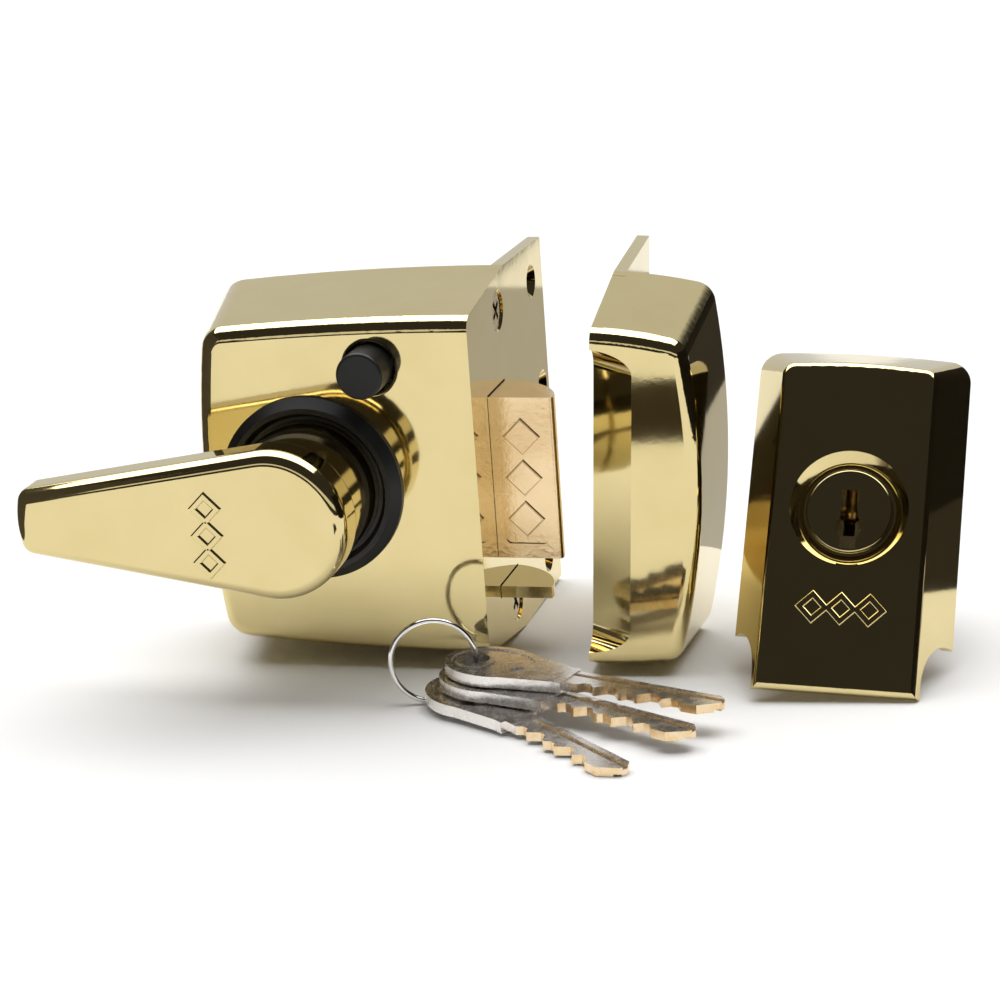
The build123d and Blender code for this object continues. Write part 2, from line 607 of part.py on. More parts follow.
def latch_tail():
    """Steel tail plate: hub window, slot for the drive pin, pawl notches and the spring lug."""
    with BuildPart() as tail:
        with BuildSketch(wall(TAIL_BACK)):
            left, right = TAIL_LEFT, HEAD_END + TAIL_SEAT
            with Locations(((left + right) / 2, (TAIL_TOP + TAIL_LOW) / 2)):
                Rectangle(right - left, TAIL_TOP - TAIL_LOW)
            window = HUB_R + 0.4
            with Locations((THROW / 2, 0)):
                SlotOverall(THROW + 2 * window, 2 * window, mode=Mode.SUBTRACT)
            with Locations((PIN_X, (PIN_SLOT_TOP + PIN_SLOT_LOW) / 2)):
                Rectangle(2 * (PIN_R + SLIDE_GAP), PIN_SLOT_TOP - PIN_SLOT_LOW, mode=Mode.SUBTRACT)
            for x in (PAWL_X + PAWL_ARM, PAWL_X + PAWL_ARM + THROW):
                with Locations((x, TAIL_LOW)):
                    Rectangle(PAWL_TOOTH + NOTCH_ROOM, 2 * TAIL_NOTCH, mode=Mode.SUBTRACT)
        extrude(amount=TAIL_BACK - TAIL_FRONT)
        with BuildSketch(wall(TAIL_BACK)):
            with Locations((LUG_X + TAB / 2, (TAIL_TOP + LUG_TOP) / 2 - 0.5)):
                Rectangle(TAB, LUG_TOP - TAIL_TOP + 1)
        extrude(amount=9.2)
        with BuildSketch(wall(TAIL_BACK)):
            for z in RIVET_Z:
                with Locations((HEAD_END + TAIL_SEAT / 2, z)):
                    Circle(RIVET_R)
        extrude(amount=TAIL_BACK - TAIL_FRONT, mode=Mode.SUBTRACT)
    return tail


def tail_rivets():
    with BuildPart() as rivets:
        with BuildSketch(wall(BOLT_BACK - 1)):
            for z in RIVET_Z:
                with Locations((HEAD_END + TAIL_SEAT / 2, z)):
                    Circle(RIVET_R)
        extrude(amount=BOLT_BACK - BOLT_FRONT - 2)
    return rivets


def anti_saw_pins():
    with BuildPart() as pins:
        with BuildSketch(level(BOLT_BOTTOM)):
            with Locations(*SAW_PINS):
                Circle(SAW_PIN_R)
        extrude(amount=BOLT_TOP - BOLT_BOTTOM - 2)
    return pins


# ---------------------------------------------------------------- plunger, pawl and snib


def plunger_blade():
    """Deadlocking plunger with its stem and the lug its spring pushes on."""
    with BuildPart() as plunger:
        add(nosed_bar(PLUNGER_BOTTOM, PLUNGER_TOP, HEAD_END, BACKSET + PLUNGER_THROW).part)
        with BuildSketch(level(PLUNGER_BOTTOM)):
            with Locations(((STEM_LEFT + HEAD_END) / 2, -11)):
                Rectangle(HEAD_END - STEM_LEFT, 9)
        extrude(amount=PLUNGER_TOP - PLUNGER_BOTTOM)
        with BuildSketch(level(PLUNGER_BOTTOM)):
            with Locations((PLUNGER_LUG_X + TAB / 2, PLUNGER_SPRING_Y)):
                Rectangle(TAB, 5)
        extrude(amount=-6.2)
        with BuildSketch(level(PLUNGER_BOTTOM)):
            with Locations((PEG_X, PAWL_Y)):
                Circle(PEG_R)
        extrude(amount=PLUNGER_TOP - PLUNGER_BOTTOM, mode=Mode.SUBTRACT)
    return plunger


def plunger_peg():
    """Peg on the stem that lifts the pawl as the plunger is pushed in."""
    with BuildPart() as peg:
        with BuildSketch(level(PLUNGER_BOTTOM)):
            with Locations((PEG_X, PAWL_Y)):
                Circle(PEG_R)
        extrude(amount=PEG_TOP - PLUNGER_BOTTOM)
        fillet(peg.edges().sort_by(Axis.Z)[-1], 0.4)
    return peg


def deadlock_pawl():
    """Pawl that rises into a notch of the latch tail and stops the bolt."""
    tip = PAWL_X + PAWL_ARM
    with BuildPart() as pawl:
        with BuildSketch(wall(TAIL_BACK)):
            with Locations((PAWL_X, PAWL_Z)):
                Circle(2.8)
            with BuildLine():
                Polyline(
                    (PAWL_X, PAWL_Z + 2.6),
                    (tip - PAWL_TOOTH / 2, PAWL_Z + 1.8),
                    (tip - PAWL_TOOTH / 2, PAWL_TOOTH_TOP),
                    (tip + PAWL_TOOTH / 2, PAWL_TOOTH_TOP),
                    (tip + PAWL_TOOTH / 2, PEG_TOP + 0.5),
                    (PAWL_X + 2, PEG_TOP + 0.35),
                    close=True,
                )
            make_face()
            with Locations((PAWL_X, PAWL_Z)):
                Circle(PAWL_PIVOT_R + RUN, mode=Mode.SUBTRACT)
        extrude(amount=TAIL_BACK - TAIL_FRONT)
    return pawl


def snib_button():
    """Black snib button with its stem."""
    with BuildPart() as button:
        with BuildSketch(wall(-CASE_DEPTH + WALL)):
            with Locations((SNIB_X, SNIB_Z)):
                Circle(SNIB_R)
        extrude(amount=SNIB_PROUD + WALL)
        fillet(button.edges().filter_by(GeomType.CIRCLE).sort_by(Axis.Y)[0], 0.7)
        with BuildSketch(wall(SNIB_PLATE_FRONT)):
            with Locations((SNIB_X, SNIB_Z)):
                Circle(3.4)
        extrude(amount=SNIB_PLATE_FRONT + CASE_DEPTH - WALL)
        with BuildSketch(wall(SNIB_PLATE_FRONT)):
            with Locations((SNIB_X, SNIB_Z)):
                Circle(1.5)
        extrude(amount=8, mode=Mode.SUBTRACT)
    return button


def snib_plate():
    """Plate on the button's stem; its lug blocks the bolt or holds it back."""
    with BuildPart() as plate:
        with BuildSketch(wall(SNIB_PLATE_BACK)):
            with Locations((SNIB_X, SNIB_Z)):
                Circle(5)
            with BuildLine():
                Polyline(
                    (SNIB_X - 3, SNIB_Z),
                    (LUG_LOCK_X - LUG_LOCK / 2, LUG_LOCK_LOW + 4),
                    (LUG_LOCK_X - LUG_LOCK / 2, LUG_LOCK_LOW),
                    (LUG_LOCK_X + LUG_LOCK / 2, LUG_LOCK_LOW),
                    (LUG_LOCK_X + LUG_LOCK / 2, LUG_LOCK_LOW + 12),
                    (SNIB_X + 4.5, SNIB_Z),
                    close=True,
                )
            make_face()
            with Locations((SNIB_X, SNIB_Z)):
                Circle(1.5, mode=Mode.SUBTRACT)
        extrude(amount=SNIB_PLATE_BACK - SNIB_PLATE_FRONT)
        with BuildSketch(wall(SNIB_PLATE_BACK)):
            with Locations((LUG_LOCK_X, LUG_LOCK_LOW + 4.5)):
                Rectangle(LUG_LOCK, 9)
        extrude(amount=-(BOLT_FRONT - 0.4 - SNIB_PLATE_BACK))
    return plate


def snib_screw():
    """Screw that holds the snib plate on the button."""
    with BuildPart() as screw:
        with BuildSketch(wall(SNIB_PLATE_BACK)):
            with Locations((SNIB_X, SNIB_Z)):
                Circle(1.5)
        extrude(amount=8)
        with BuildSketch(wall(SNIB_PLATE_BACK)):
            with Locations((SNIB_X, SNIB_Z)):
                Circle(2.7)
        extrude(amount=-1.6)
    return screw


# ---------------------------------------------------------------- keep


def keep_outline(y, inset=0.0, left=0.0):
    """Outline of the keep at depth y of its own frame, drawn in by a wall thickness."""
    share = y / KEEP_DEPTH
    return arched_outline(
        wall(y, KEEP_AT),
        left,
        KEEP_FRONT_X + (KEEP_BACK_X - KEEP_FRONT_X) * share - inset,
        KEEP_FRONT_HALF + (KEEP_BACK_HALF - KEEP_FRONT_HALF) * share - inset,
        KEEP_DROP,
        KEEP_BULGE,
        KEEP_CORNER - inset,
    )


def keep_ramp():
    """Plane across the lead-in ramp of the keep: sketch x is outward from the ramp, sketch y is up."""
    ramp = Plane(
        origin=(KEEP_RAMP_X, 0, KEEP_RAMP_MIDDLE),
        x_dir=(-KEEP_RAMP_Y, -KEEP_RAMP_X, 0),
        z_dir=(-KEEP_RAMP_X, KEEP_RAMP_Y, 0),
    )
    return Plane(KEEP_AT * ramp.location)


def keep_hollow():
    """Inside of the keep, which stays a wall's thickness behind the ramp."""
    with BuildPart() as hollow:
        add(keep_outline(WALL, WALL, -1))
        add(keep_outline(KEEP_DEPTH - WALL, WALL, -1))
        loft()
        with BuildSketch(keep_ramp()):
            with Locations((KEEP_DEPTH / 2 - WALL, 0)):
                Rectangle(KEEP_DEPTH, 3 * KEEP_BACK_HALF)
        extrude(amount=KEEP_DEPTH, both=True, mode=Mode.SUBTRACT)
    return hollow.part


def keep_box():
    """Cast keep: a box open towards the lock, with a ramp that guides the bolt in and a flange."""
    with BuildPart() as keep:
        add(keep_outline(0))
        add(keep_outline(KEEP_DEPTH))
        loft()
        local_x = Plane(KEEP_AT).x_dir
        front = keep.faces().sort_by(Axis(KEEP_AT.position, Plane(KEEP_AT).y_dir))[0]
        edges = front.edges().sort_by(Axis(KEEP_AT.position, local_x))[1:]
        fillet(edges, KEEP_EDGE)
        add(keep_hollow(), mode=Mode.SUBTRACT)
        with BuildSketch(keep_ramp()):
            with Locations((KEEP_DEPTH / 2, 0)):
                RectangleRounded(KEEP_DEPTH, KEEP_RAMP_TALL, KEEP_RAMP_ROUND)
        extrude(amount=KEEP_DEPTH, both=True, mode=Mode.SUBTRACT)
        with BuildSketch(side(0, KEEP_AT)):
            with BuildLine():
                Polyline(
                    (KEEP_DEPTH - WALL, -KEEP_BACK_HALF + 0.3),
                    (KEEP_DEPTH, -KEEP_BACK_HALF),
                    (KEEP_FLANGE_END, -END_HALF),
                    (KEEP_FLANGE_END, END_HALF),
                    (KEEP_DEPTH, KEEP_BACK_HALF),
                    (KEEP_DEPTH - WALL, KEEP_BACK_HALF - 0.3),
                    close=True,
                )
            make_face()
        extrude(amount=FOREND)
        with BuildSketch(side(FOREND, KEEP_AT)):
            with Locations(*KEEP_FLANGE_HOLES):
                Circle(DOOR_HOLE_R)
        extrude(amount=-FOREND, mode=Mode.SUBTRACT)
        with BuildSketch(wall(KEEP_DEPTH, KEEP_AT)):
            with Locations(*KEEP_BACK_HOLES):
                Circle(DOOR_HOLE_R)
        extrude(amount=WALL, mode=Mode.SUBTRACT)
    return keep


# ---------------------------------------------------------------- outside cylinder


def pull_section(y, inset=0.0):
    """Section of the pull at depth y of its own frame: straight foot, arched top, wider to the back."""
    share = y / PULL_DEPTH
    top_half = PULL_TOP_HALF + PULL_FLARE * share - inset
    foot_half = PULL_FOOT_HALF + PULL_FLARE * share - inset
    top = PULL_TOP + PULL_FLARE_TOP * share - inset
    foot = PULL_BOTTOM + inset
    shoulder = top - PULL_ARCH
    with BuildSketch(wall(y, PULL_AT)) as face:
        with BuildLine():
            Line((-foot_half, foot), (foot_half, foot))
            Line((foot_half, foot), (top_half, shoulder))
            ThreePointArc((top_half, shoulder), (0, top), (-top_half, shoulder))
            Line((-top_half, shoulder), (-foot_half, foot))
        make_face()
        by_height = face.vertices().sort_by(Axis.Y)
        fillet(by_height[-2:], 2.8 + 2.4 * share - inset / 2)
        fillet(by_height[:2], 3.4 - inset / 2)
    return face.sketch


def pull_cover():
    """Cast pull: a raised face on a wider foot, open at the lower back for the fingers."""
    with BuildPart() as cover:
        add(pull_section(0))
        add(pull_section(PULL_DEPTH))
        loft()
        at = PULL_AT
        front = cover.faces().sort_by(Axis(at.position, Plane(at).y_dir))[0]
        fillet(front.edges(), PULL_EDGE)
        add(pull_section(PULL_SKIN, PULL_SKIN))
        add(pull_section(PULL_DEPTH, PULL_SKIN))
        loft(mode=Mode.SUBTRACT)
        with BuildSketch(side(-40, at)):
            with BuildLine():
                Line((PULL_DEPTH + 1, PULL_BOTTOM - 1), (PULL_SKIN, PULL_BOTTOM - 1))
                Line((PULL_SKIN, PULL_BOTTOM - 1), (PULL_SKIN, GRIP_TOP - 10))
                ThreePointArc(
                    (PULL_SKIN, GRIP_TOP - 10), (PULL_SKIN + 5, GRIP_TOP - 2), (PULL_DEPTH + 1, GRIP_TOP)
                )
                Line((PULL_DEPTH + 1, GRIP_TOP), (PULL_DEPTH + 1, PULL_BOTTOM - 1))
            make_face()
        extrude(amount=80, mode=Mode.SUBTRACT)
        with BuildSketch(wall(PULL_SKIN - 0.5, at)):
            Circle(DISH_R + 2.2)
        extrude(amount=-(BODY_FRONT + 0.6 - PULL_SKIN))
        with BuildSketch(Plane(at * Plane.YZ.location)):
            with BuildLine():
                Line((-1, 0), (-1, DISH_R))
                Line((-1, DISH_R), (0, DISH_R))
                ThreePointArc((0, DISH_R), (DISH_DEEP * 0.55, DISC_R + 1.9), (DISH_DEEP, DISC_R + 0.6))
                Line((DISH_DEEP, DISC_R + 0.6), (DISH_DEEP, 0))
                Line((DISH_DEEP, 0), (-1, 0))
            make_face()
        revolve(axis=Axis(at.position, Plane(at).y_dir), mode=Mode.SUBTRACT)
        with BuildSketch(wall(DISH_DEEP + 4, at)):
            Circle(DISC_R + RUN)
        extrude(amount=8, mode=Mode.SUBTRACT)
        with BuildSketch(wall(BODY_FRONT, at)):
            Circle(BODY_R + 0.1)
        extrude(amount=-8, mode=Mode.SUBTRACT)
        add(raised_marks(wall(0, at), PULL_MARK, (1, 0)))
    return cover


def cylinder_body():
    """Brass cylinder body with the plug bore, the pin chambers and two threaded fixing holes."""
    at = PULL_AT
    with BuildPart() as body:
        with BuildSketch(wall(BODY_FRONT, at)):
            Circle(BODY_R)
        extrude(amount=BODY_FRONT - BODY_BACK)
        with BuildSketch(wall(BODY_FRONT, at)):
            Circle(PLUG_R + RUN)
        extrude(amount=BODY_FRONT - BODY_BACK, mode=Mode.SUBTRACT)
        with BuildSketch(wall(BODY_BACK, at)):
            with Locations((-FIXING_X, 0), (FIXING_X, 0)):
                Circle(FIXING_R)
        extrude(amount=FIXING_DEEP, mode=Mode.SUBTRACT)
        with BuildSketch(level(PLUG_R - 1, at)):
            with Locations(*chambers()):
                Circle(PIN_BORE_R)
        extrude(amount=CHAMBER_TOP - PLUG_R + 1, mode=Mode.SUBTRACT)
        with BuildSketch(level(CHAMBER_TOP, at)):
            with Locations((0, sum(y for x, y in chambers()) / PIN_COUNT)):
                Rectangle(4, PIN_PITCH * PIN_COUNT + 1)
        extrude(amount=BODY_R, mode=Mode.SUBTRACT)
    return body


def chambers():
    """Places of the pin chambers in the body's own X and Y."""
    return [(0, BODY_FRONT + 6 + i * PIN_PITCH) for i in range(PIN_COUNT)]


def pin_cover_bar():
    """Bar that closes the pin chambers."""
    with BuildPart() as bar:
        with BuildSketch(level(CHAMBER_TOP, PULL_AT)):
            with Locations((0, sum(y for x, y in chambers()) / PIN_COUNT)):
                Rectangle(3.98, PIN_PITCH * PIN_COUNT + 0.98)
        extrude(amount=1.2)
    return bar


def key_pins():
    """Key pins, one a chamber, cut to the shear line."""
    with BuildPart() as pins:
        with BuildSketch(level(0, PULL_AT)):
            with Locations(*chambers()):
                Circle(PIN_R_SMALL)
        extrude(amount=SHEAR)
    return pins


def driver_pins():
    with BuildPart() as pins:
        with BuildSketch(level(PLUG_R + RUN, PULL_AT)):
            with Locations(*chambers()):
                Circle(PIN_R_SMALL)
        extrude(amount=DRIVER_LONG)
    return pins


def pin_springs():
    """Springs over the driver pins."""
    base = PLUG_R + RUN + DRIVER_LONG + 0.25
    with BuildPart() as springs:
        for x, y in chambers():
            place = Plane(PULL_AT * Location((x, y, base)))
            length = CHAMBER_TOP - base - 0.25
            add(coil(place.origin, place.z_dir, length, 0.95, 0.16, 4).part)
    return springs


def anti_drill_disc():
    """Hardened disc in the dish, with the way in for the key."""
    at = PULL_AT
    with BuildPart() as disc:
        with BuildSketch(wall(BODY_FRONT - 0.1, at)):
            Circle(DISC_R)
        extrude(amount=BODY_FRONT - 0.1 - DISC_FRONT)
        front = disc.faces().sort_by(Axis(at.position, Plane(at).y_dir))[0]
        fillet(front.edges(), 0.8)
        extrude(key_mouth(), amount=BODY_FRONT + 4, mode=Mode.SUBTRACT)
    return disc


def key_mouth():
    """Way in for the key: a slot that ends near the rim, with a round swell below the middle."""
    with BuildSketch(wall(BODY_FRONT + 1, PULL_AT)) as mouth:
        with Locations((0, (MOUTH_TOP + MOUTH_LOW) / 2)):
            Rectangle(MOUTH_WIDE, MOUTH_TOP - MOUTH_LOW)
        with Locations((0, MOUTH_ROUND_Z)):
            Circle(MOUTH_ROUND)
    return mouth.sketch


def cylinder_plug():
    """Turning plug with the keyway, the pin bores and a step for the tailpiece."""
    at = PULL_AT
    with BuildPart() as plug:
        with BuildSketch(wall(BODY_FRONT + 0.1, at)):
            Circle(PLUG_R)
        extrude(amount=BODY_FRONT + 0.1 - PLUG_BACK)
        with BuildSketch(wall(BODY_FRONT + 0.1, at)):
            Rectangle(KEYWAY_WIDTH, KEYWAY_TALL)
            Circle(2.3)
        extrude(amount=-PLUG_LENGTH + 3, mode=Mode.SUBTRACT)
        with BuildSketch(level(0, at)):
            with Locations(*chambers()):
                Circle(PIN_BORE_R)
        extrude(amount=PLUG_R + 1, mode=Mode.SUBTRACT)
        with BuildSketch(wall(PLUG_BACK, at)):
            with Locations((-TAIL_SCREW_X, 0), (TAIL_SCREW_X, 0)):
                Circle(TAIL_SCREW_R)
        extrude(amount=2.5, mode=Mode.SUBTRACT)
    return plug


def tailpiece():
    """Flat tailpiece with its square foot."""
    at = PULL_AT
    with BuildPart() as tail:
        with BuildSketch(wall(PLUG_BACK + 1, at)):
            Circle(5.2)
            with Locations((-TAIL_SCREW_X, 0), (TAIL_SCREW_X, 0)):
                Circle(TAIL_SCREW_R, mode=Mode.SUBTRACT)
        extrude(amount=1)
        with BuildSketch(wall(TAILPIECE_END, at)):
            Rectangle(1.8, TAILPIECE_WIDE)
        extrude(amount=TAILPIECE_END - PLUG_BACK - 1)
        with BuildSketch(side(-2, at)):
            for i in range(3):
                y = PLUG_BACK + 4 + SNAP_PITCH * i
                with Locations((y, TAILPIECE_WIDE / 2), (y, -TAILPIECE_WIDE / 2)):
                    Rectangle(SNAP_WIDE, 2 * SNAP_DEEP)
        extrude(amount=4, mode=Mode.SUBTRACT)
    return tail


def tailpiece_screws():
    at = PULL_AT
    with BuildPart() as screws:
        with BuildSketch(wall(PLUG_BACK + 1, at)):
            with Locations((-TAIL_SCREW_X, 0), (TAIL_SCREW_X, 0)):
                Circle(TAIL_SCREW_R)
        extrude(amount=3.5)
        with BuildSketch(wall(PLUG_BACK + 1, at)):
            with Locations((-TAIL_SCREW_X, 0), (TAIL_SCREW_X, 0)):
                Circle(TAIL_SCREW_R + 0.55)
        extrude(amount=-0.8)
    return screws


# ---------------------------------------------------------------- keys


def key_blank(at, cuts):
    """Flat key: oval bow with a ring hole, tapered neck, stop, grooved blade with cuts on one edge."""
    blade_half = BLADE_WIDE / 2
    blade_low = (KEY_THICK - BLADE_THICK) / 2
    with BuildPart() as key:
        with BuildSketch(level(0, at)):
            with Locations((BOW_X, 0)):
                Ellipse(BOW_LONG / 2, BOW_WIDE / 2)
            with BuildLine():
                Polyline(
                    (NECK_START, NECK_START_HALF),
                    (SHOULDER - STOP_LONG, NECK_END_HALF),
                    (SHOULDER, NECK_END_HALF),
                    (SHOULDER, -STOP_HALF),
                    (SHOULDER - STOP_LONG, -STOP_HALF),
                    (NECK_START, -NECK_START_HALF),
                    close=True,
                )
            make_face()
            Circle(KEY_HOLE_R, mode=Mode.SUBTRACT)
        extrude(amount=KEY_THICK)
        with BuildSketch(level(KEY_THICK, at)):
            with Locations((BOW_X, 0)):
                Ellipse(BOW_LONG / 2 - BOW_RIM, BOW_WIDE / 2 - BOW_RIM)
            Circle(KEY_HOLE_R + BOW_RIM, mode=Mode.SUBTRACT)
            with Locations((BOW_X + BOW_LONG / 4, 0)):
                Rectangle(BOW_MARK, BOW_MARK, rotation=45, mode=Mode.SUBTRACT)
        extrude(amount=-BOW_DEEP, mode=Mode.SUBTRACT)
        with BuildSketch(level(blade_low, at)):
            with BuildLine():
                Polyline(
                    (SHOULDER - 1, blade_half),
                    (KEY_REACH - 1.6, blade_half),
                    (KEY_REACH, blade_half - 1.6),
                    (KEY_REACH, blade_half - 3.8),
                    (KEY_REACH - 4.0, -blade_half),
                    (SHOULDER - 1, -blade_half),
                    close=True,
                )
            make_face()
            for i, deep in enumerate(cuts):
                x = SHOULDER + CUT_PITCH * (i + 1)
                with BuildLine():
                    Polyline(
                        (x - CUT_FLAT - deep, -blade_half - 0.1),
                        (x - CUT_FLAT, -blade_half + deep),
                        (x + CUT_FLAT, -blade_half + deep),
                        (x + CUT_FLAT + deep, -blade_half - 0.1),
                        close=True,
                    )
                make_face(mode=Mode.SUBTRACT)
        extrude(amount=BLADE_THICK)
        groove = (KEY_REACH + 2 - SHOULDER) / 2
        with BuildSketch(level(blade_low + BLADE_THICK, at)):
            with Locations((SHOULDER + groove, GROOVE_WIDE)):
                Rectangle(2 * groove, GROOVE_WIDE)
        extrude(amount=-GROOVE_DEEP, mode=Mode.SUBTRACT)
        with BuildSketch(level(blade_low, at)):
            with Locations((SHOULDER + groove, -GROOVE_WIDE / 4)):
                Rectangle(2 * groove, GROOVE_WIDE)
        extrude(amount=GROOVE_DEEP, mode=Mode.SUBTRACT)
    return key


def split_ring():
    """Split ring that stands through the three keys' holes."""
    with BuildPart() as ring:
        with BuildSketch(Plane(RING_AT * Location((RING_R, 0, 0)))):
            Circle(RING_WIRE_R)
        revolve(axis=Axis(RING_AT.position, Plane(RING_AT).y_dir))
    return ring


PIECES = {
    "lock_case": lock_case,
    "back_plate": back_plate,
    "forend_screws": forend_screws,
    "back_plate_screws": back_plate_screws,
    "handle_collar": handle_collar,
    "bolt_guide": bolt_guide,
    "spring_rod": spring_rod,
    "latch_spring": latch_spring,
    "plunger_spring": plunger_spring,
    "handle_spring": handle_spring,
    "snib_spring": snib_spring,
    "pawl_pivot": pawl_pivot,
    "handle_lever": handle_lever,
    "follower": follower,
    "drive_pin": drive_pin,
    "handle_washer": handle_washer,
    "retaining_clip": retaining_clip,
    "latch_bolt": latch_bolt,
    "latch_tail": latch_tail,
    "tail_rivets": tail_rivets,
    "anti_saw_pins": anti_saw_pins,
    "plunger_blade": plunger_blade,
    "plunger_peg": plunger_peg,
    "deadlock_pawl": deadlock_pawl,
    "snib_button": snib_button,
    "snib_plate": snib_plate,
    "snib_screw": snib_screw,
    "keep_box": keep_box,
    "pull_cover": pull_cover,
    "cylinder_body": cylinder_body,
    "pin_cover_bar": pin_cover_bar,
    "driver_pins": driver_pins,
    "pin_springs": pin_springs,
    "anti_drill_disc": anti_drill_disc,
    "cylinder_plug": cylinder_plug,
    "key_pins": key_pins,
    "tailpiece": tailpiece,
    "tailpiece_screws": tailpiece_screws,
    "split_ring": split_ring,
}

for label, make in PIECES.items():
    save(make(), label)
for label, place in KEY_PLACES.items():
    save(key_blank(place, KEY_CUTS), label)
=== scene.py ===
"""Looks of the rim night latch: polished brass castings, black nylon, plated keys, soft studio."""

import bpy
import json
import math
from mathutils import Matrix, Vector


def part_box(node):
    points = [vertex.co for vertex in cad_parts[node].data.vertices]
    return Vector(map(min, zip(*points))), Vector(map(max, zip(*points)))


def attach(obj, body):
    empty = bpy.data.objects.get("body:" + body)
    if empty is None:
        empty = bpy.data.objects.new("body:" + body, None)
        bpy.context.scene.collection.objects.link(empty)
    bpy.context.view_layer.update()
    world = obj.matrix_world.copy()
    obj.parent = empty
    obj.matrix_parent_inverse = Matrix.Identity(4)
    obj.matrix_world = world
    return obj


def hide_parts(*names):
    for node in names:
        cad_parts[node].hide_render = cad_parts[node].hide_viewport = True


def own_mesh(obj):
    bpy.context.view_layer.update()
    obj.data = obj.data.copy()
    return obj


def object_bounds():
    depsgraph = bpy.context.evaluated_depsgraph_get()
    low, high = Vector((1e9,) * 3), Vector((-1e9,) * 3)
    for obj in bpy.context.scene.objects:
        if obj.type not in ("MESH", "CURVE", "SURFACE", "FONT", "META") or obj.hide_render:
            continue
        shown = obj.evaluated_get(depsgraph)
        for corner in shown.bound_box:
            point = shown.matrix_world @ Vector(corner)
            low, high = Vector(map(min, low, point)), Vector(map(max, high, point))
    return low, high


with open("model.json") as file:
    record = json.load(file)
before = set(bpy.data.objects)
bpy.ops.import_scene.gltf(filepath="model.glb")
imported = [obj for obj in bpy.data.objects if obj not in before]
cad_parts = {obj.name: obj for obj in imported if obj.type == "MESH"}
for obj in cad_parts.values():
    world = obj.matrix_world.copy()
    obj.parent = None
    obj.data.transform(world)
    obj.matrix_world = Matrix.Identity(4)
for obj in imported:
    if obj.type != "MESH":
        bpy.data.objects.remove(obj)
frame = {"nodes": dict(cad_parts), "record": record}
CAD_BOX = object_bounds()
NODES = frame["nodes"]
FLOOR_Z = CAD_BOX[0][2]


# ---------------------------------------------------------------- node helpers


def new_material(name):
    """Empty node material with a Principled shader; returns material, nodes, links and shader."""
    material = bpy.data.materials.new(name)
    material.use_nodes = True
    nodes = material.node_tree.nodes
    links = material.node_tree.links
    return material, nodes, links, nodes["Principled BSDF"]


def noise(nodes, links, scale, detail=3.0, roughness=0.5):
    """Noise in the object's own metres; scale is features a metre."""
    place = nodes.new("ShaderNodeTexCoord")
    texture = nodes.new("ShaderNodeTexNoise")
    texture.inputs["Scale"].default_value = scale
    texture.inputs["Detail"].default_value = detail
    texture.inputs["Roughness"].default_value = roughness
    links.new(place.outputs["Object"], texture.inputs["Vector"])
    return texture.outputs["Fac"]


def remapped(nodes, links, value, start, end, low, high, smooth=False):
    """Maps start to end on to low to high, in a straight line or a smooth step."""
    remap = nodes.new("ShaderNodeMapRange")
    if smooth:
        remap.interpolation_type = "SMOOTHSTEP"
    remap.inputs["From Min"].default_value = start
    remap.inputs["From Max"].default_value = end
    remap.inputs["To Min"].default_value = low
    remap.inputs["To Max"].default_value = high
    links.new(value, remap.inputs["Value"])
    return remap.outputs["Result"]


NOISE_LOW, NOISE_HIGH = 0.3, 0.7  # the part of a noise's range that most of it falls in


def spread(nodes, links, value, low, high):
    """Maps the usual range of a noise on to low to high."""
    return remapped(nodes, links, value, NOISE_LOW, NOISE_HIGH, low, high)


def maths(nodes, links, operation, first, second=None):
    """Result of a maths node; second is a value, a number, or left out."""
    node = nodes.new("ShaderNodeMath")
    node.operation = operation
    links.new(first, node.inputs[0])
    if isinstance(second, (int, float)):
        node.inputs[1].default_value = second
    elif second is not None:
        links.new(second, node.inputs[1])
    return node.outputs["Value"]


def window(nodes, links, value, low, high, soft):
    """1 between low and high, falling softly to 0 outside."""
    rise = remapped(nodes, links, value, low - soft, low + soft, 0, 1, smooth=True)
    fall = remapped(nodes, links, value, high - soft, high + soft, 1, 0, smooth=True)
    return maths(nodes, links, "MULTIPLY", rise, fall)


def two_tone(nodes, links, value, first, second):
    """Colour that goes from first to second as the value rises."""
    mix = nodes.new("ShaderNodeMix")
    mix.data_type = "RGBA"
    mix.inputs["A"].default_value = (*first, 1)
    mix.inputs["B"].default_value = (*second, 1)
    links.new(value, mix.inputs["Factor"])
    return mix.outputs["Result"]


def bumps(nodes, links, shader, height, distance):
    """Bump of a height value, its distance in metres."""
    bump = nodes.new("ShaderNodeBump")
    bump.inputs["Strength"].default_value = 1.0
    bump.inputs["Distance"].default_value = distance
    links.new(height, bump.inputs["Height"])
    links.new(bump.outputs["Normal"], shader.inputs["Normal"])


# ---------------------------------------------------------------- materials

# features a metre of the slow change of tone on each kind of surface
METAL_CLOUD, PLASTIC_CLOUD, KEY_CLOUD = 60.0, 90.0, 400.0

RING_HOLE = (0.0403, -0.053, -0.040)  # middle of the three bow holes
BLADE_FROM, BLADE_SOFT = 0.027, 0.002  # distance from there at which the milled blades start
FLANK_UPRIGHT = (0.35, 0.75)  # upright part of the normal over which a flank turns into a face
LEAST_WORN = 0.55


def metal(name, first, second, rough, grain, depth):
    """Metal with slight tone and roughness variation and a fine surface grain."""
    material, nodes, links, shader = new_material(name)
    shader.inputs["Metallic"].default_value = 1.0
    cloud = noise(nodes, links, METAL_CLOUD, 4.0, 0.55)
    tone = two_tone(nodes, links, spread(nodes, links, cloud, 0, 1), first, second)
    links.new(tone, shader.inputs["Base Color"])
    links.new(spread(nodes, links, cloud, *rough), shader.inputs["Roughness"])
    bumps(nodes, links, shader, noise(nodes, links, grain, 4.0, 0.6), depth)
    return material


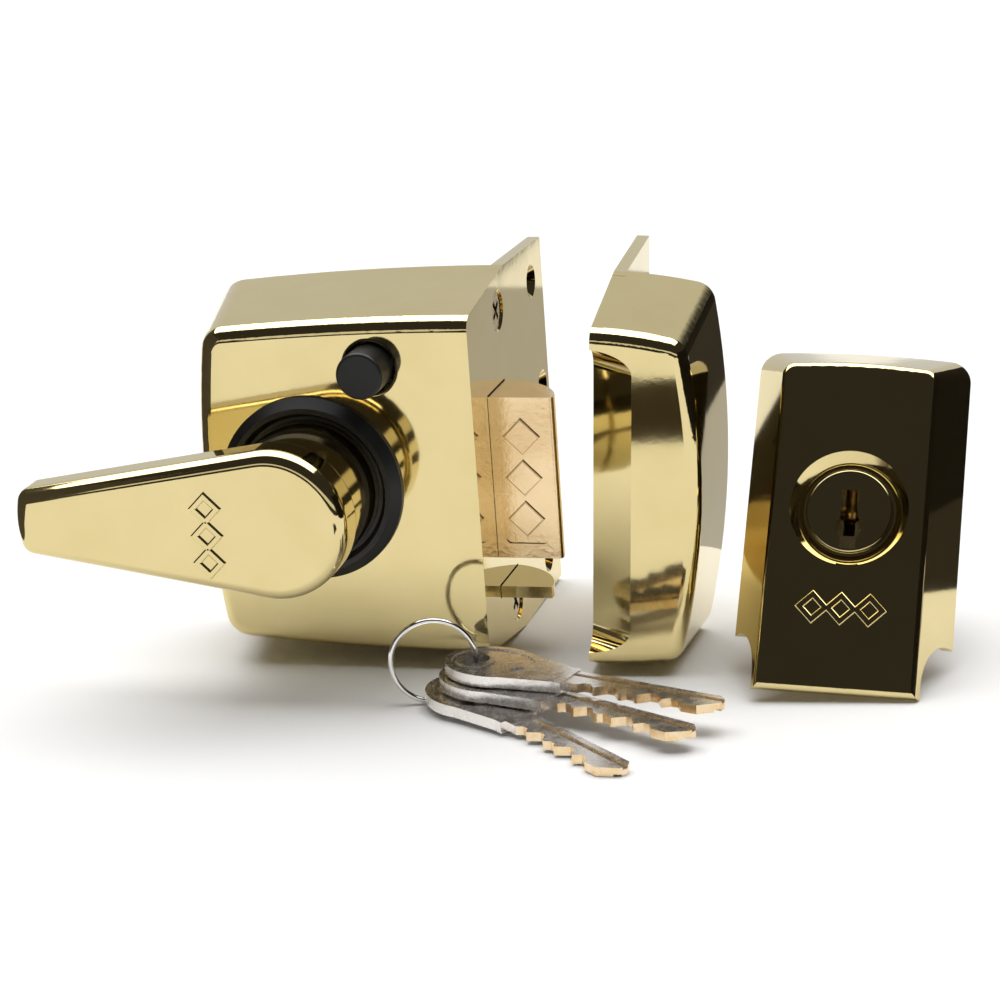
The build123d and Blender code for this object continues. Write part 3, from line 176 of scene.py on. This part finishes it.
def plastic(name, first, second, rough, grain, depth):
    """Moulded plastic with a fine spark-eroded texture."""
    material, nodes, links, shader = new_material(name)
    cloud = noise(nodes, links, PLASTIC_CLOUD, 4.0)
    tone = two_tone(nodes, links, spread(nodes, links, cloud, 0, 1), first, second)
    links.new(tone, shader.inputs["Base Color"])
    links.new(spread(nodes, links, cloud, *rough), shader.inputs["Roughness"])
    bumps(nodes, links, shader, noise(nodes, links, grain), depth)
    return material


def key_metal(name, plate, brass, rough, grain, depth):
    """Nickel plate that shows the brass below it where the blade was milled after plating."""
    material, nodes, links, shader = new_material(name)
    shader.inputs["Metallic"].default_value = 1.0
    place = nodes.new("ShaderNodeTexCoord")
    apart = nodes.new("ShaderNodeVectorMath")
    apart.operation = "DISTANCE"
    apart.inputs[1].default_value = RING_HOLE
    links.new(place.outputs["Object"], apart.inputs[0])
    reach = apart.outputs["Value"]
    blade = remapped(nodes, links, reach, BLADE_FROM, BLADE_FROM + BLADE_SOFT, 0, 1, smooth=True)
    split = nodes.new("ShaderNodeSeparateXYZ")
    links.new(place.outputs["Normal"], split.inputs["Vector"])
    upright = maths(nodes, links, "ABSOLUTE", split.outputs["Z"])
    flank = remapped(nodes, links, upright, *FLANK_UPRIGHT, 1, 0, smooth=True)
    cloud = noise(nodes, links, KEY_CLOUD, 4.0, 0.6)
    worn = spread(nodes, links, cloud, LEAST_WORN, 1.0)
    milled = maths(nodes, links, "MULTIPLY", blade, flank)
    bare = maths(nodes, links, "MULTIPLY", milled, worn)
    links.new(two_tone(nodes, links, bare, plate, brass), shader.inputs["Base Color"])
    links.new(spread(nodes, links, cloud, *rough), shader.inputs["Roughness"])
    bumps(nodes, links, shader, noise(nodes, links, grain, 4.0, 0.6), depth)
    return material


# slot: kind, first and second tone, roughness range, grain in features a metre, grain depth
FINISHES = {
    "polished_brass": (
        metal, (0.74, 0.62, 0.32), (0.70, 0.58, 0.285), (0.04, 0.08), 260.0, 0.000006,
    ),
    "cast_bolt_brass": (
        metal, (0.86, 0.66, 0.40), (0.74, 0.53, 0.28), (0.12, 0.22), 800.0, 0.00008,
    ),
    "turned_brass": (
        metal, (0.74, 0.58, 0.30), (0.64, 0.49, 0.24), (0.18, 0.3), 1500.0, 0.00002,
    ),
    "black_nylon": (
        plastic, (0.005, 0.005, 0.006), (0.010, 0.0095, 0.0095), (0.36, 0.48), 3500.0, 0.00003,
    ),
    "white_nylon": (
        plastic, (0.75, 0.74, 0.70), (0.68, 0.67, 0.62), (0.4, 0.5), 3000.0, 0.00003,
    ),
    "zinc_plate": (
        metal, (0.60, 0.60, 0.58), (0.48, 0.48, 0.47), (0.25, 0.4), 1800.0, 0.00003,
    ),
    "spring_steel": (
        metal, (0.52, 0.51, 0.50), (0.42, 0.41, 0.40), (0.2, 0.32), 1500.0, 0.00002,
    ),
    "brassed_steel": (
        metal, (0.80, 0.68, 0.42), (0.70, 0.57, 0.33), (0.12, 0.22), 900.0, 0.00003,
    ),
    "nickel_key": (
        key_metal, (0.95, 0.91, 0.87), (0.84, 0.60, 0.29), (0.2, 0.32), 900.0, 0.00003,
    ),
    "bright_nickel": (
        metal, (0.80, 0.79, 0.77), (0.74, 0.73, 0.71), (0.06, 0.12), 700.0, 0.00001,
    ),
}
MATERIALS = {slot: kind(slot, *numbers) for slot, (kind, *numbers) in FINISHES.items()}

for subpart in frame["record"]["subparts"]:
    for slot in NODES[subpart["node"]].material_slots:
        slot.material = MATERIALS[subpart["material_slot"]]


# ---------------------------------------------------------------- pieces finished in Blender


def add_object(name, data):
    """New object of the scene that shows the data."""
    made = bpy.data.objects.new(name, data)
    bpy.context.collection.objects.link(made)
    return made


BEVEL_POINTS = 5  # points of each quarter-round edge
SEAT_DEPTH = 0.0001  # how far the raised lozenges sink into the face below them


def rounded_lozenge(name, body, slot, place, size, hole, height, soft):
    """Raised lozenge with rounded edges, hollow if hole isn't 0.

    place puts its middle and turns it: X and Z lie in its face, -Y points outwards.
    """
    turns = [math.radians(90 * i / (BEVEL_POINTS - 1)) for i in range(BEVEL_POINTS)]
    outer = [
        (size / 2 - soft + soft * math.cos(a), height - soft + soft * math.sin(a)) for a in turns
    ]
    profile = [(size / 2, -SEAT_DEPTH), *outer]
    if hole:
        inner = [
            (hole / 2 + soft - soft * math.sin(a), height - soft + soft * math.cos(a))
            for a in turns
        ]
        profile += [*inner, (hole / 2, -SEAT_DEPTH)]
    points, faces = [], []
    for reach, rise in profile:
        diagonal = reach * math.sqrt(2)
        for x, z in ((diagonal, 0), (0, diagonal), (-diagonal, 0), (0, -diagonal)):
            points.append(place @ Vector((x, -rise, z)))
    rings = len(profile)
    for ring in range(rings if hole else rings - 1):
        for side in range(4):
            near, far = ring * 4, (ring + 1) % rings * 4
            after = (side + 1) % 4
            faces.append((near + side, near + after, far + after, far + side))
    if not hole:
        top = (rings - 1) * 4
        faces.append((3, 2, 1, 0))
        faces.append((top, top + 1, top + 2, top + 3))
    mesh = bpy.data.meshes.new(name)
    mesh.from_pydata(points, [], faces)
    mesh.update()
    mark = add_object(name, mesh)
    mesh.materials.append(MATERIALS[slot])
    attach(mark, body)


# size, hole, height and edge radius of the lozenges, and the distance from one to the next
HOLLOW_MARK, HOLLOW_STEP = (0.0056, 0.0026, 0.00046, 0.00034), 0.0064
BOLT_MARK, BOLT_STEP = (0.0063, 0, 0.00054, 0.0004), 0.010

LEVER_FACE = Matrix.Translation((-0.015, -0.0651, -0.002))
BOLT_PANEL = Matrix.Translation((0.0474, -0.0206, -0.0012))
PULL_PLACE = Matrix.Translation((0.1241, -0.0246, -0.00617))
PULL_TURN = (
    Matrix.Rotation(math.radians(6.8), 4, "Z")
    @ Matrix.Rotation(math.radians(-32.7), 4, "X")
    @ Matrix.Rotation(math.radians(5.0), 4, "Y")
)
PULL_FACE = PULL_PLACE @ PULL_TURN @ Matrix.Translation((0, 0, -0.0235))

for step in (-1, 0, 1):
    lever_spot = LEVER_FACE @ Matrix.Translation((0, 0, step * HOLLOW_STEP))
    pull_spot = PULL_FACE @ Matrix.Translation((step * HOLLOW_STEP, 0, 0))
    bolt_spot = BOLT_PANEL @ Matrix.Translation((0, 0, step * BOLT_STEP))
    number = step + 2
    rounded_lozenge(f"lever_mark_{number}", "handle", "polished_brass", lever_spot, *HOLLOW_MARK)
    rounded_lozenge(
        f"pull_mark_{number}", "outside_cylinder", "polished_brass", pull_spot, *HOLLOW_MARK
    )
    rounded_lozenge(f"bolt_mark_{number}", "latch", "cast_bolt_brass", bolt_spot, *BOLT_MARK)


def sprung(node, axis, fixed):
    """Copy of a spring, attached to the case and shown in place of the part, which is hidden."""
    spring = add_object(node + "_coil", NODES[node].data.copy())
    low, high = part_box(node)
    along = axis.index(1)
    anchor = [(low[i] + high[i]) / 2 for i in range(3)]
    anchor[along] = fixed
    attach(spring, "case")
    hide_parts(node)
    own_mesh(spring)


sprung("latch_spring", (1, 0, 0), -0.0215)
sprung("plunger_spring", (1, 0, 0), -0.0056)
sprung("snib_spring", (0, 1, 0), -0.0025)


# ---------------------------------------------------------------- studio

CAMERA_PLACE = (0.2485, -0.7308, 0.2189)
YAW, PITCH, ROLL = 0.284, 0.296, -0.071  # radians: to the left, downwards, anticlockwise
LENS, SENSOR = 119.2, 36  # mm


def camera():
    """Long-lens camera, a little above and to the right of the lock, rolled a few degrees."""
    forward = Vector((
        -math.sin(YAW) * math.cos(PITCH),
        math.cos(YAW) * math.cos(PITCH),
        -math.sin(PITCH),
    ))
    level_right = Vector((math.cos(YAW), math.sin(YAW), 0))
    level_up = level_right.cross(forward)
    right = math.cos(ROLL) * level_right + math.sin(ROLL) * level_up
    up = -math.sin(ROLL) * level_right + math.cos(ROLL) * level_up
    data = bpy.data.cameras.new("camera")
    data.lens = LENS
    data.sensor_width = SENSOR
    data.clip_start = 0.01
    eye = bpy.data.objects.new("camera", data)
    basis = Matrix((right, up, -forward)).transposed()
    eye.matrix_world = Matrix.Translation(CAMERA_PLACE) @ basis.to_4x4()
    bpy.context.collection.objects.link(eye)
    bpy.context.scene.camera = eye


def matte_sheet(name, corners, shade):
    """Flat four-cornered sheet of one dull shade, part of the studio."""
    mesh = bpy.data.meshes.new(name)
    mesh.from_pydata(corners, [], [(0, 1, 2, 3)])
    sheet = add_object(name, mesh)
    material, _, _, shader = new_material(name)
    shader.inputs["Base Color"].default_value = (*shade, 1)
    shader.inputs["Roughness"].default_value = 0.9
    shader.inputs["Specular IOR Level"].default_value = 0.1
    mesh.materials.append(material)
    return sheet


def floor():
    """Large pale floor."""
    outline = [(-0.7, -0.44), (0.9, -0.44), (2.5, 4.0), (-3.0, 4.0)]
    matte_sheet("floor", [(x, y, FLOOR_Z) for x, y in outline], (0.86, 0.86, 0.86))


def card(name, corners, shade):
    """Card beside the set, seen only as a reflection in the polished pieces."""
    board = matte_sheet(name, corners, shade)
    board.visible_camera = False
    board.visible_diffuse = False
    board.visible_shadow = False


def upright_card(name, x, near, far, foot, top, shade):
    """Card that faces sideways; its foot and top are heights over the floor."""
    low, high = FLOOR_Z + foot, FLOOR_Z + top
    card(name, [(x, near, low), (x, far, low), (x, far, high), (x, near, high)], shade)


CARD_LIFT = 0.0005  # flat cards lie this far above the floor


def flat_card(name, left, right, near, far, shade):
    """Card that lies just above the floor."""
    z = FLOOR_Z + CARD_LIFT
    card(name, [(left, near, z), (right, near, z), (right, far, z), (left, far, z)], shade)


LEAST_DEPTH = 0.02  # a direction is never taken to go less than this towards a panel
ROOM_SHADE = (0.034, 0.032, 0.030)


def panel(nodes, links, across, up, depth, across_edges, up_edges, strength, tint):
    """Light of one soft-edged panel of the room.

    across, up and depth are parts of the direction, depth being the one towards the panel.
    across_edges and up_edges give its low edge, its high edge and their softness, as shares
    of the depth.
    """
    sides = []
    for value, edges in ((across, across_edges), (up, up_edges)):
        safe = maths(nodes, links, "MAXIMUM", depth, LEAST_DEPTH)
        share = maths(nodes, links, "DIVIDE", value, safe)
        sides.append(window(nodes, links, share, *edges))
    shape = maths(nodes, links, "MULTIPLY", *sides)
    emit = nodes.new("ShaderNodeBackground")
    emit.inputs["Color"].default_value = (*tint, 1)
    links.new(maths(nodes, links, "MULTIPLY", shape, strength), emit.inputs["Strength"])
    return emit.outputs["Background"]


def room():
    """Dark room with a wide soft box overhead, a pale wall behind and a low strip in front."""
    world = bpy.data.worlds.new("room")
    bpy.context.scene.world = world
    world.use_nodes = True
    nodes, links = world.node_tree.nodes, world.node_tree.links
    place = nodes.new("ShaderNodeTexCoord")
    split = nodes.new("ShaderNodeSeparateXYZ")
    links.new(place.outputs["Generated"], split.inputs["Vector"])
    x, y, z = split.outputs["X"], split.outputs["Y"], split.outputs["Z"]
    ahead = maths(nodes, links, "MULTIPLY", y, -1)
    base = nodes["Background"]
    base.inputs["Color"].default_value = (*ROOM_SHADE, 1)
    base.inputs["Strength"].default_value = 1.0
    overhead = (x, y, z, (-0.95, 0.75, 0.06), (-0.28, 0.95, 0.05), 3.4, (1, 1, 1))
    behind = (x, z, y, (-1.5, 0.42, 0.12), (-0.3, 0.96, 0.05), 0.66, (0.97, 0.98, 1))
    front = (x, z, ahead, (-1.6, 1.4, 0.1), (0.0, 0.17, 0.02), 0.8, (1, 0.98, 0.95))
    light = base.outputs["Background"]
    for setting in (overhead, behind, front):
        total = nodes.new("ShaderNodeAddShader")
        links.new(light, total.inputs[0])
        links.new(panel(nodes, links, *setting), total.inputs[1])
        light = total.outputs["Shader"]
    links.new(light, nodes["World Output"].inputs["Surface"])


camera()
floor()
room()
upright_card("left card", -0.16, -0.30, 0.04, 0, 0.205, (0.10, 0.09, 0.08))
upright_card("right card", 0.195, -0.16, 0.45, 0.024, 0.115, (0.012, 0.010, 0.008))
flat_card("grey card", 0.064, 0.145, 0.05, 0.34, (0.38, 0.37, 0.35))
flat_card("far card", 0.145, 0.42, 0.045, 0.42, (0.02, 0.016, 0.012))
flat_card("small card", 0.036, 0.095, -0.232, -0.182, (0.03, 0.022, 0.012))
bpy.context.scene.view_settings.view_transform = "Standard"
